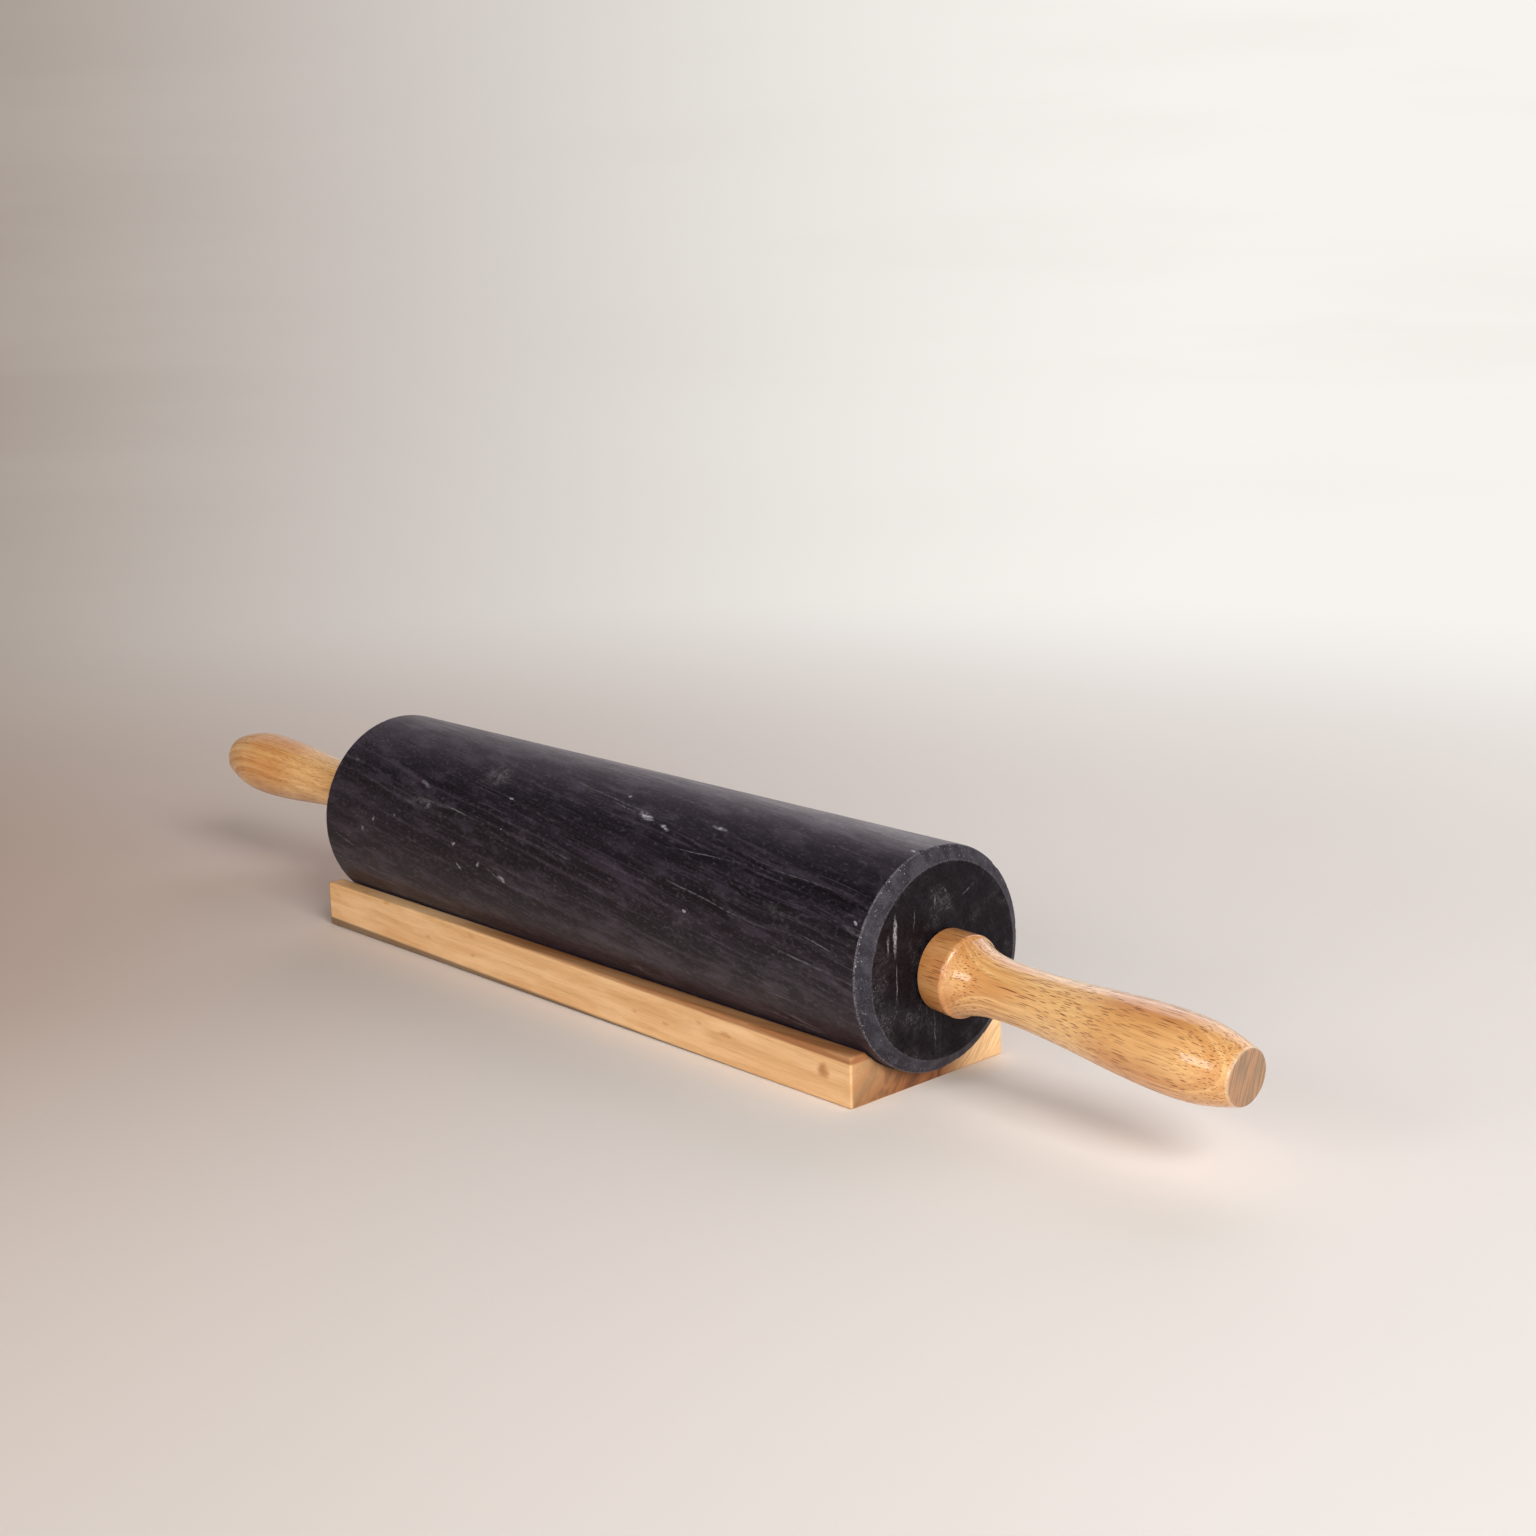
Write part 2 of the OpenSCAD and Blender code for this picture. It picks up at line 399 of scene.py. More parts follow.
def marks_on(f, flat, marks, crisp):
    """Puts marks at their places on a flat pair of coordinates."""
    shown = []
    for along, across, half_length, half_width, tilt, strength in marks:
        turn = (0, 0, radians(tilt))
        spot = f.laid(flat, (along, across, 0), turn, (half_length, half_width, 1))
        shown.append(f.length(spot).rise(1.0, crisp) * strength)
    return strongest(shown)


def in_mm(marks):
    """Gives marks with their places round the barrel in mm instead of degrees."""
    return [(along, round_it * MM_PER_DEGREE, *rest) for along, round_it, *rest in marks]


def bedding(f, x, y, above):
    """The stone's bed winds slowly round the barrel and wavers, so streaks run long on its skin."""
    waver = f.cloud(f.laid(f.point, size=(60, 24, 24)), 2.0)
    wind = (waver - 0.5) * BED_WAVER - x * BED_WIND
    cosine = wind.maths("COSINE")
    sine = wind.maths("SINE")
    return f.together(x, y * cosine - above * sine, y * sine + above * cosine)


def thin_veins(f, bed):
    """Thin veins run where a bent cloud crosses its middle, and show only here and there."""
    bent = f.nudged(bed, (60, 20, 20), 2.0)
    folds = f.cloud(f.laid(bent, place=(3, 50, 20), size=(300, 12, 12)), 1.0, 0.4)
    here = f.cloud(f.laid(bed, place=(80, 5, 66), size=(44, 9, 9)), 3.0)
    return (folds - 0.5).size().rise(0.011, 0.002) * here.rise(0.54, 0.66)


def small_flecks(f, bed):
    """Small flecks sit in a few of the cells of a stretched pattern."""
    grid = f.laid(f.nudged(bed, (3, 3, 3), 2.0), place=(2, 3, 4), size=(11, 6, 6))
    return f.spots(grid, (0.035, 0.01), 0.07, (0.72, 0.76))


def side_marks(f, x, y, above):
    """Gives the calcite and the smoke on the side of the barrel, both with ragged edges."""
    round_it = f.maths("ARCTAN2", above, 0 - y) * degrees(1)
    unrolled = f.together(x, round_it * MM_PER_DEGREE)
    flat = f.nudged(unrolled, (2.0, 1.0, 1), 1.9, 5.0)
    thin_flat = f.nudged(unrolled, (9, 5, 1), 1.1, 4.0)
    flakes = in_mm([mark for mark in SIDE_MARKS if mark[3] > THIN_MARK])
    lines = in_mm([mark for mark in SIDE_MARKS if mark[3] < THIN_MARK])
    patchy = f.cloud(f.laid(f.point, place=(4, 9, 2), size=(5, 3, 3)), 3.0).rise(0.36, 0.60)
    thin = marks_on(f, thin_flat, lines, 0.2) * (0.25 + patchy * 0.75)
    calcite = marks_on(f, flat, flakes, 0.1).most(thin)
    return calcite, marks_on(f, thin_flat, in_mm(SIDE_SMOKE), 0.0)


def scuffs_on(f):
    """Thin scratches, each set of them running its own way across the end faces."""
    sets = []
    for way, seed in SCUFFS:
        brushed = f.laid(f.point, (0, seed, seed), (radians(way), 0, 0), (9, 16, 1.6))
        sets.append((f.cloud(brushed, 2.0) - 0.5).size().rise(0.016, 0.0))
    return strongest(sets)


def chamfer_tone(f, out, grit, smear, speck):
    """The chamfers are ground: greyer than the side, with pale grains, most of them at the rim."""
    outer = out.rise(BARREL_RADIUS / MM - 2.6, BARREL_RADIUS / MM - 0.2)
    colour = f.mix(grit.rise(0.3, 0.75), paint(36, 34, 39), paint(60, 57, 63))
    colour = f.mix(smear.rise(0.42, 0.60) * 0.5, colour, paint(78, 76, 82))
    return f.mix(speck * (0.30 + outer * 0.6), colour, paint(180, 176, 176))


def worn_and_highlit_edges(out, from_middle, face_x, bevel_start, face_radius):
    """Pale wear and a painted highlight on the two edges of each chamfer, weaker on the inner one.
    """
    rim = (out - BARREL_RADIUS / MM).size().rise(0.45, 0.0)
    rim = rim * from_middle.rise(bevel_start - 0.5, bevel_start - 0.05)
    inner = (out - face_radius).size().rise(0.35, 0.0)
    inner = inner * from_middle.rise(face_x - 0.4, face_x - 0.1) * 0.4
    return rim.most(inner)


def stone(name, shine_level, polish):
    """Honed black marble with lengthwise streaks, thin veins and sparse pale calcite."""
    f = Finish(name)
    x, y, z = f.apart(f.point)
    above = z - AXIS_HEIGHT / MM
    out = f.length(f.together(y, above))
    bed = bedding(f, x, y, above)

    # The ground tones
    clouds = {}
    for cloud, (place, size, detail, rough) in STONE_CLOUDS.items():
        clouds[cloud] = f.cloud(f.laid(bed, place=place, size=size), detail, rough)
    smear = clouds["smear"]
    streak = clouds["streak"]
    hair = clouds["hair"]
    colour = f.mix(clouds["tone"].rise(0.38, 0.64), paint(7, 5, 8), paint(17, 13, 18))
    for cloud, start, full, share, tone in STONE_TONES:
        colour = f.mix(clouds[cloud].rise(start, full) * share, colour, tone)

    # Which part of the stone this is: its side, an end face or the ground chamfer between them
    face_x = FACE_X / MM
    face_radius = (BARREL_RADIUS - CHAMFER_WIDTH) / MM
    bevel_start = (FACE_X - CHAMFER_DEPTH) / MM
    on_side = out.rise(BARREL_RADIUS / MM - 1.2, BARREL_RADIUS / MM - 0.4)
    end = x.rise(face_x - 0.25, face_x - 0.05)
    other_end = x.rise(0.05 - face_x, 0.25 - face_x)
    inner = out.rise(face_radius + 0.2, face_radius - 0.1)
    ground = x.size().rise(bevel_start - 0.05, bevel_start + 0.12) * (1 - inner)
    face = end.most(other_end) * inner

    # Calcite and smoke, broken up by a fine cloud
    broken = f.cloud(f.laid(f.point, size=(1.5, 0.7, 0.7)), 4.0, 0.65).rise(0.34, 0.56)
    side_calcite, side_smoke = side_marks(f, x, y, above)
    calcite = side_calcite * broken * on_side
    smoke = side_smoke * on_side
    wisps = f.cloud(f.laid(f.point, size=(2.0, 2.0, 2.0)), 5.0, 0.8).rise(0.38, 0.70)
    face_flat = f.nudged(f.together(y, above), (1.2, 2.4, 1), 1.3, 5.0)
    face_calcite = marks_on(f, face_flat, FACE_MARKS, 0.2) * end * inner * broken

    # Grit, grains, scratches, and wear with a painted highlight on the chamfer edges
    grit = f.cloud(f.laid(f.point, size=(0.45, 0.45, 0.45)), 3.0, 0.7)
    dust = f.laid(f.nudged(f.point, (1, 1, 1), 0.9), size=(0.8, 0.8, 0.8))
    speck = f.spots(dust, (0.16, 0.02), 0.12, (0.3, 0.7))
    scuffed = f.cloud(f.laid(f.point, (3, 8, 2), size=(9, 9, 9)), 3.0).rise(0.46, 0.68)
    scuffing = scuffs_on(f) * 0.16 + speck * 0.5 + 0.02
    edge_wear_and_highlight = worn_and_highlit_edges(out, x.size(), face_x, bevel_start, face_radius) * grit.rise(0.38, 0.62)

    colour = f.mix(smoke * wisps, colour, paint(150, 142, 146))
    colour = f.mix(thin_veins(f, bed) * broken * 0.24, colour, paint(168, 162, 168))
    colour = f.mix(small_flecks(f, bed) * 0.6, colour, paint(176, 172, 178))
    colour = f.mix(face * 0.75, colour, paint(12, 9, 11))
    colour = f.mix(face * scuffed * scuffing, colour, paint(150, 146, 150))
    colour = f.mix(calcite.most(face_calcite), colour, paint(176, 172, 178))
    colour = f.mix(ground, colour, chamfer_tone(f, out, grit, smear, speck))
    # Pale edges: partly wear, partly a painted highlight along both edges of the chamfer
    colour = f.mix(edge_wear_and_highlight * 0.6, colour, paint(140, 133, 138))

    rough = 0.37 + streak.rise(0.4, 0.7) * 0.09 + hair.rise(0.4, 0.7) * 0.08
    rough = rough + calcite * 0.1 - face * 0.10 + ground * 0.24
    height = grit * 0.012 + hair * 0.010 + ground * grit * 0.05 - calcite * 0.02
    polished = smear * 0.6 + clouds["mottle"] * 0.2 + streak * 0.2
    return f.shine(
        Base_Color=colour,
        Roughness=rough,
        Normal=f.bump(height, MM),
        Coat_Weight=polished.rise(0.43, 0.57) * polish,
        Coat_Roughness=0.36,
        IOR=1.5,
        Specular_IOR_Level=shine_level,
        Specular_Tint=(1.0, 0.86, 0.98, 1),
        Sheen_Weight=0.05,
        Sheen_Roughness=0.45,
        Sheen_Tint=(0.85, 0.66, 0.95, 1),
    )


def timber(name, start, turn, pith, ring, depth, tones, pores, figure, zones=()):
    """Wood whose grain runs along x in a frame of its own, with growth rings round a pith.

    The pith is its place across the wood and its slant, the ring is a ring's width in mm, the
    depth is how strongly the figure shows, and the figure is how far in mm it wanders. The tones
    are the light wood, the deep wood and the pores. A zone is a stretch along the wood that is
    made lighter or darker than the rest: where it fades in and out, its share and its colour.
    """
    light, deep, pore_tone = tones
    f = Finish(name)
    local = f.laid(f.point, start, turn)
    bent = f.nudged(local, (70, 22, 22), figure)
    x, y, z = f.apart(bent)
    away = f.length(f.together(y - pith[0], z - pith[1])) + x * pith[2]
    rings = f.node(
        "ShaderNodeTexNoise",
        {"noise_dimensions": "1D"},
        {"W": away * (1 / ring), "Scale": 1.0, "Detail": 3.0, "Roughness": 0.55},
        "Fac",
    )
    fibre = f.cloud(f.laid(local, size=(34, 0.9, 0.9)), 5.0, 0.65)
    fine = f.cloud(f.laid(local, size=(16, 0.26, 0.26)), 3.0, 0.55)
    patch = f.cloud(f.laid(local, place=(5, 60, 9), size=(48, 12, 12)), 3.0)

    # Pores are short dashes, thicker on some rings
    grid = f.laid(f.nudged(local, (12, 4, 4), 0.3), size=(9.0, 0.36, 0.36))
    dash = f.spots(grid, (0.32, 0.15), 0.12, (0.12, 0.30))
    dash = dash * (0.6 + 0.4 * rings.rise(0.38, 0.56))

    colour = f.mix(rings.rise(0.32, 0.68) * depth, light, deep)
    colour = f.mix(patch.rise(0.42, 0.66) * depth * 0.55, colour, deep)
    late = (rings - 0.56).size().rise(0.045, 0.0)
    colour = f.mix(late * depth * 0.28, colour, f.mix(0.35, deep, pore_tone))
    along = f.apart(local)[0]
    for rise_from, rise_to, fall_from, fall_to, share, tone in zones:
        inside = along.rise(rise_from, rise_to) * along.rise(fall_to, fall_from)
        colour = f.mix(inside * share, colour, tone)
    colour = f.mix(fibre.rise(0.46, 0.68) * depth * 0.6, colour, deep)
    colour = f.mix(fine.rise(0.48, 0.70) * 0.26, colour, pore_tone)
    colour = f.mix(dash * pores, colour, pore_tone)
    return SimpleNamespace(
        finish=f, local=local, colour=colour, rings=rings, fibre=fibre, fine=fine, dash=dash
    )


def handle_wood(side, drop, lean):
    """Golden lacquered wood. Its frame starts on the barrel's face and points to the tip."""
    right = side > 0
    wood = timber(
        "handle_wood_right" if right else "handle_wood_left",
        start=(side * FACE_X / MM, 0, (AXIS_HEIGHT - drop) / MM),
        turn=(0, lean, 0) if right else (0, -lean, pi),
        pith=(26, -10, 0.0) if right else (-26, 24, 0.01),
        ring=1.7,
        depth=0.90,
        tones=(paint(245, 198, 132), paint(208, 142, 76), paint(134, 72, 34)),
        pores=0.92 if right else 0.45,
        figure=3.2,
        # Collar darker: partly the wood's amber tone, partly painted shade. Neck and tip lighter,
        # belly deeper
        zones=[
            (-9, -8, 8, 15, 0.60, paint(170, 102, 48)),
            (24, 40, 50, 68, 0.50 if right else 0.35, paint(255, 212, 148)),
            (50, 66, 76, 90, 0.40, paint(206, 134, 66)),
            (84, 92, 102, 103, 0.12 if right else 0.0, paint(255, 208, 142)),
        ],
    )
    f = wood.finish
    along = f.apart(wood.local)[0]

    # The tip shows end grain, with a painted highlight round its eased edge
    tip = along.rise(HANDLE_LENGTH / MM - 0.45, HANDLE_LENGTH / MM - 0.12)
    rays = f.cloud(f.laid(wood.local, turn=(radians(-14), 0, 0), size=(3, 0.6, 12)), 3.0, 0.55)
    grain = f.mix(rays.rise(0.44, 0.56), paint(142, 86, 54), paint(64, 36, 25))
    grain = f.mix(wood.dash * 0.5, grain, paint(112, 70, 38))
    colour = f.mix(tip * 0.90, wood.colour, grain)
    # The pale ring is a painted highlight on the eased edge of the tip
    rim = (along - (HANDLE_LENGTH - TIP_EASE) / MM).size().rise(0.75, 0.15)
    colour = f.mix(rim * 0.5, colour, paint(236, 204, 164))

    # The lacquer is thinner in the pores, in small peeled places and on the tip
    handled = f.cloud(f.laid(wood.local, size=(18, 9, 9)), 3.0).rise(0.4, 0.7)
    rough = 0.42 + wood.fine * 0.10 + wood.dash * 0.2 + tip * 0.12 + handled * 0.06
    height = 0 - wood.dash * 0.06 - wood.fibre * 0.012 - wood.fine * 0.012 - tip * rays * 0.03
    peel = f.cloud(f.laid(wood.local, size=(0.5, 0.4, 0.4)), 3.0, 0.6).rise(0.50, 0.58)
    return f.shine(
        Base_Color=colour,
        Roughness=rough,
        Normal=f.bump(height, MM),
        Coat_Weight=0.95 - wood.dash * 0.35 - peel * 0.55 - tip * 0.4,
        Coat_Roughness=0.07,
        IOR=1.48,
    )


def cradle_wood():
    """Pale smooth wood: faint long grain, a knot, darker end grain, painted shade on its top edge
    and foot.
    """
    wood = timber(
        "cradle_wood",
        start=(CRADLE_X / MM, 0, 0),
        turn=(0, 0.012, 0.01),
        pith=(14, -46, 0.015),
        ring=2.6,
        depth=0.60,
        tones=(paint(237, 192, 139), paint(218, 164, 106), paint(176, 118, 72)),
        pores=0.22,
        figure=6.0,
    )
    f = wood.finish
    local = wood.local
    x, y, z = f.apart(local)

    # Pale patches and small brown spots
    pale_patch = f.cloud(f.laid(local, place=(30, 4, 8), size=(26, 7, 7)), 3.0)
    colour = f.mix(pale_patch.rise(0.46, 0.66) * 0.45, wood.colour, paint(248, 208, 158))
    grid = f.laid(f.nudged(local, (4, 2, 2), 1.6), size=(13, 5, 5))
    spot = f.spots(grid, (0.16, 0.03), 0.1, (0.5, 0.6))
    colour = f.mix(spot * 0.5, colour, paint(190, 122, 72))

    # The ends show slanting end grain, dark on the near side and pale on the far side: partly the
    # grain's own tone, partly painted shade on the near side and painted light on the far side
    half_length = CRADLE_LENGTH / 2 / MM
    end = x.size().rise(half_length - 0.7, half_length - 0.1)
    swirl = f.nudged(f.together(y, z), (18, 14, 1), 6.0, 2.0)
    slant = (0, 0, radians(46))
    bands = f.cloud(f.laid(swirl, turn=slant, size=(40, 3.6, 1)), 2.0, 0.5)
    comb = f.cloud(f.laid(swirl, turn=slant, size=(9, 0.5, 1)), 3.0, 0.6)
    pale = f.mix(comb.rise(0.42, 0.60) * 0.6, paint(255, 214, 160), paint(218, 162, 108))
    grain = f.mix(bands.rise(0.40, 0.60), paint(146, 92, 50), paint(104, 60, 30))
    grain = f.mix(comb.rise(0.55, 0.70) * 0.35, grain, paint(142, 86, 44))
    # Across each end the painted shade on the near side gives way to painted light on the far side
    grain = f.mix(y.rise(2, 18), grain, pale)
    colour = f.mix(end, colour, grain)

    # The top edge carries painted shade from the barrel, with the rings showing through, the foot a
    # painted dark line of contact shade, and one knot sits near the corner
    # Painted shade on the top edge, where the barrel shades it
    ledge = z.rise(CRADLE_HEIGHT / MM - 0.9, CRADLE_HEIGHT / MM - 0.2)
    ledge = ledge * (0.65 + 0.3 * wood.rings.rise(0.38, 0.62))
    colour = f.mix(ledge, colour, paint(158, 100, 56))
    # A painted dark line of contact shade along the foot
    colour = f.mix(z.rise(1.7, 0.7) * 0.8, colour, paint(78, 58, 46))
    knot_place = (114, -CRADLE_WIDTH / 2 / MM, 10)
    knot_spot = f.laid(local, knot_place, size=(3.4, 3.2, 3.2))
    knot = f.length(f.nudged(knot_spot, (0.8, 0.8, 0.8), 0.7)).rise(1.0, 0.35)
    colour = f.mix(knot * 0.85, colour, paint(176, 112, 58))

    rough = 0.52 + wood.fine * 0.12 + end * 0.1 + wood.fibre * 0.05
    height = 0 - wood.dash * 0.03 - wood.fibre * 0.015 - wood.fine * 0.012
    return f.shine(Base_Color=colour, Roughness=rough, Normal=f.bump(height, MM), IOR=1.48)


def nylon():
    """Off-white nylon, turned on a lathe."""
    f = Finish("nylon")
    mottle = f.cloud(f.laid(f.point, size=(3, 3, 3)), 3.0)
    turned = f.cloud(f.laid(f.point, size=(0.3, 6, 6)), 2.0)
    colour = f.mix(mottle.rise(0.3, 0.7), paint(228, 224, 212), paint(208, 202, 188))
    rough = 0.5 + turned * 0.15
    return f.shine(Base_Color=colour, Roughness=rough, Normal=f.bump(turned * 0.01, MM))


def metal(name, light, deep):
    """Drawn or turned metal, with fine rings and a little tarnish."""
    f = Finish(name)
    tarnish = f.cloud(f.laid(f.point, size=(6, 4, 4)), 4.0)
    turned = f.cloud(f.laid(f.point, size=(0.15, 8, 8)), 2.0)
    colour = f.mix(tarnish.rise(0.35, 0.7), light, deep)
    rough = 0.24 + turned * 0.16 + tarnish * 0.1
    return f.shine(
        Base_Color=colour, Roughness=rough, Metallic=1.0, Normal=f.bump(turned * 0.01, MM)
    )


def add_piece(name, mesh, material, body, slot, *nodes):
    """Turns a bmesh into a piece that rides on a body and stands for its CAD nodes."""
    data = bpy.data.meshes.new(name)
    mesh.to_mesh(data)
    mesh.free()
    data.shade_smooth()
    data.set_sharp_from_angle(angle=SHARP_ANGLE)
    data.materials.append(material)
    piece = bpy.data.objects.new(name, data)
    bpy.context.scene.collection.objects.link(piece)
    even = piece.modifiers.new("even_normals", "WEIGHTED_NORMAL")
    even.keep_sharp = True
    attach(piece, body)
    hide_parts(*nodes)
    return piece


def outline(mesh, points, closed):
    """Draws a line through points given as a place along x and a radius."""
    corners = [mesh.verts.new((along, 0, radius)) for along, radius in points]
    pairs = list(zip(corners, corners[1:]))
    if closed:
        pairs.append((corners[-1], corners[0]))
    for pair in pairs:
        mesh.edges.new(pair)
    return corners


def round_off(mesh, corners, radius, segments):
    """Rounds the given corners of an outline."""
    bmesh.ops.bevel(
        mesh,
        geom=corners,
        offset=radius,
        offset_type="OFFSET",
        segments=segments,
        profile=0.5,
        affect="VERTICES",
        material=-1,
        clamp_overlap=False,
    )


def spun(mesh, steps, axis=(1, 0, 0)):
    """Spins everything drawn so far right round an axis into one skin."""
    bmesh.ops.spin(
        mesh,
        geom=mesh.verts[:] + mesh.edges[:],
        cent=(0, 0, 0),
        axis=axis,
        angle=2 * pi,
        steps=steps,
        use_merge=True,
        use_duplicate=False,
    )
    bmesh.ops.remove_doubles(mesh, verts=mesh.verts, dist=MERGE_DISTANCE)
    bmesh.ops.recalc_face_normals(mesh, faces=mesh.faces)


def cut_ring(mesh, along):
    """Cuts a loop right round a mesh, square to the x axis."""
    bmesh.ops.bisect_plane(
        mesh,
        geom=mesh.verts[:] + mesh.edges[:] + mesh.faces[:],
        dist=CUT_TOLERANCE,
        plane_co=(along, 0, 0),
        plane_no=(1, 0, 0),
    )


def make_barrel():
    """The stone barrel, with its stepped bore, ground chamfers and small chips on the rims."""
    mesh = bmesh.new()
    ledge = FACE_X - BUSHING_LENGTH
    face_radius = BARREL_RADIUS - CHAMFER_WIDTH
    rim = FACE_X - CHAMFER_DEPTH
    half = [(ledge, BORE_RADIUS), (ledge, BUSHING_RADIUS), (FACE_X, BUSHING_RADIUS)]
    half += [(FACE_X, face_radius), (rim, BARREL_RADIUS)]
    mirrored = [(-along, radius) for along, radius in reversed(half)]
    corners = outline(mesh, half + mirrored, True)
    sharp = [v for v in corners if v.co.z > face_radius - MM]
    round_off(mesh, sharp, STONE_EASE, STONE_EASE_SEGMENTS)
    spun(mesh, BARREL_STEPS)
    for side in (-1, 1):
        for step in LOOPS:
            cut_ring(mesh, side * (FACE_X - step * MM))
    for vert in mesh.verts:
        chip_at(vert, face_radius, rim)
    bmesh.ops.translate(mesh, verts=mesh.verts, vec=(0, 0, AXIS_HEIGHT))
    return mesh


def chip_at(vert, face_radius, rim):
    """Takes small chips off the two edges of a chamfer."""
    out = Vector((0, vert.co.y, vert.co.z))
    if out.length < face_radius - MM or abs(vert.co.x) < rim - CHIP_MARGIN:
        return
    rim_distance = Vector((abs(vert.co.x) - rim, out.length - BARREL_RADIUS)).length
    edge_distance = Vector((abs(vert.co.x) - FACE_X, out.length - face_radius)).length
    near = max(0, 1 - min(rim_distance, edge_distance) / CHIP_REACH)
    fine = noise.noise(vert.co * FINE_CHIPS)
    coarse = noise.noise(vert.co * COARSE_CHIPS + Vector((5, 2, 8)))
    depth = max(0, fine * 0.6 + coarse * 0.8 - UNCHIPPED) * CHIP_DEPTH * near
    inward = Vector((-vert.co.x, 0, 0)).normalized() * 0.5 - out.normalized()
    vert.co += inward.normalized() * min(depth, CHIP_LIMIT)


def handle_line():
    """The outline of a turned handle, from inside the barrel's face to the middle of the tip."""
    shares = [step / OUTLINE_STEPS for step in range(1, OUTLINE_STEPS + 1)]
    points = [(-RIDGE_AT, COLLAR_RADIUS), (0.0, COLLAR_RADIUS)]
    for turn in RIDGE_TURNS:
        angle = radians(turn)
        radius = RIDGE_RADIUS - RIDGE_ROUND * (1 - cos(angle))
        points.append((RIDGE_AT + RIDGE_ROUND * sin(angle), radius))
    from_along, from_radius = points[-1]
    for share in shares:
        radius = NECK_RADIUS + (from_radius - NECK_RADIUS) * (1 - share) ** NECK_POWER
        points.append((from_along + (NECK_AT - from_along) * share, radius))
    for share in shares:
        radius = NECK_RADIUS + (BELLY_RADIUS - NECK_RADIUS) * (1 - cos(pi * share)) / 2
        points.append((NECK_AT + (BELLY_AT - NECK_AT) * share, radius))
    for share in shares:
        radius = BELLY_RADIUS - (BELLY_RADIUS - TIP_RADIUS) * share**TIP_POWER
        points.append((BELLY_AT + (HANDLE_LENGTH - TIP_EASE - BELLY_AT) * share, radius))
    for turn in TIP_TURNS:
        angle = radians(turn)
        radius = TIP_RADIUS - TIP_EASE * (1 - cos(angle))
        points.append((HANDLE_LENGTH - TIP_EASE + TIP_EASE * sin(angle), radius))
    points.append((HANDLE_LENGTH, TIP_RADIUS - 2 * TIP_EASE))
    points.append((HANDLE_LENGTH, 0.0))
    return points


def pull_in(mesh, edges, distance, radius):
    """Extrudes a ring of edges along x and sets its radius, and gives the new ring."""
    made = bmesh.ops.extrude_edge_only(mesh, edges=edges)["geom"]
    verts = [item for item in made if isinstance(item, bmesh.types.BMVert)]
    for vert in verts:
        out = Vector((0, vert.co.y, vert.co.z - AXIS_HEIGHT)).normalized() * radius
        vert.co = Vector((vert.co.x + distance, out.y, out.z + AXIS_HEIGHT))
    return [item for item in made if isinstance(item, bmesh.types.BMEdge)]


def make_handle(side, drop, lean):
    """A turned handle with its collar cut square to the axle and a stepped hole for the insert."""
    mesh = bmesh.new()
    outline(mesh, handle_line(), False)
    spun(mesh, HANDLE_STEPS)
    place = Matrix.Translation((FACE_X, 0, AXIS_HEIGHT - drop)) @ Matrix.Rotation(lean, 4, "Y")
    bmesh.ops.transform(mesh, matrix=place, verts=mesh.verts)
    bmesh.ops.bisect_plane(
        mesh,
        geom=mesh.verts[:] + mesh.edges[:] + mesh.faces[:],
        dist=CUT_TOLERANCE,
        plane_co=(COLLAR_X, 0, 0),
        plane_no=(-1, 0, 0),
        clear_outer=True,
    )
    ring = [edge for edge in mesh.edges if edge.is_boundary]
    ring = pull_in(mesh, ring, 0, INSERT_RADIUS)
    ring = pull_in(mesh, ring, INSERT_LENGTH, INSERT_RADIUS)
    ring = pull_in(mesh, ring, 0, ROD_HOLE_RADIUS)
    ring = pull_in(mesh, ring, HOLE_RESERVE, ROD_HOLE_RADIUS)
    bmesh.ops.contextual_create(mesh, geom=ring)
    if side < 0:
        bmesh.ops.scale(mesh, vec=(-1, 1, 1), verts=mesh.verts)
    bmesh.ops.recalc_face_normals(mesh, faces=mesh.faces)
    return mesh


